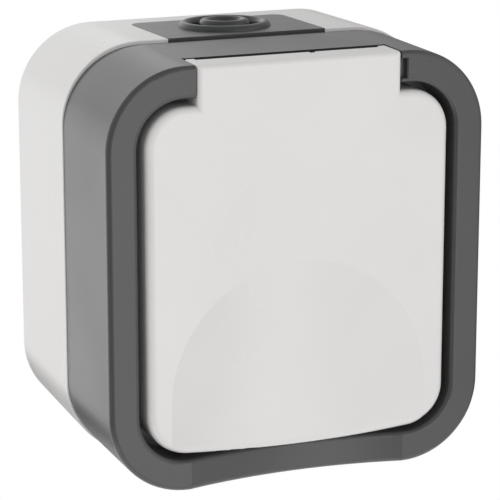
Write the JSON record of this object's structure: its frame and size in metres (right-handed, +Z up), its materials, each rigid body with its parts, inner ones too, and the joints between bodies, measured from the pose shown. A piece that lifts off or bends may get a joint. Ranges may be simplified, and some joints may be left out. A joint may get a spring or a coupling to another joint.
{
  "type": "outdoor weatherproof socket",
  "caption": "Surface-mounted weatherproof wall socket: rounded box, dark frame and a spring-closed hinged lid with a raised finger grip over a round two-pin socket with earth clips.",
  "frame": {"origin": "centre of the box's back face, on the wall", "axes": "+Y into the wall, so the front faces -Y; +Z up, towards the lid's hinge; +X to the right seen from the front"},
  "size_m": [0.075, 0.0593, 0.0838],
  "materials": {
    "box_plastic": "satin",
    "lid_plastic": "satin",
    "frame_plastic": "satin",
    "grommet_rubber": "matt",
    "seal_rubber": "matt",
    "screw_steel": "zinc plated",
    "pin_steel": "drawn",
    "spring_steel": "drawn wire",
    "socket_plastic": "satin",
    "carrier_plastic": "matt",
    "contact_brass": "rolled sheet"
  },
  "bodies": {
    "housing": {"back_box": "box_plastic", "top_cable_grommet": "grommet_rubber", "bottom_cable_grommet": "grommet_rubber", "box_seal": "seal_rubber", "front_frame": "frame_plastic", "frame_screws": "screw_steel", "hinge_spring": "spring_steel", "socket_face": "socket_plastic", "centre_screw": "screw_steel", "contact_carrier": "carrier_plastic", "carrier_screws": "screw_steel", "live_contact": "contact_brass", "neutral_contact": "contact_brass", "earth_bracket": "contact_brass", "terminal_clamps": "screw_steel", "terminal_screws": "screw_steel"},
    "lid": {"lid": "lid_plastic", "lid_gasket": "seal_rubber", "hinge_pin": "pin_steel"}
  },
  "joints": [
    {"name": "lid_hinge", "type": "hinge", "parent": "housing", "child": "lid", "pos_m": [0, -0.0524, 0.037], "axis": [-1, 0, 0], "range_deg": [0, 100], "stiffness_Nm_per_rad": 0.015, "springref_deg": -28.65, "deforming": ["hinge_spring"]}
  ]
}
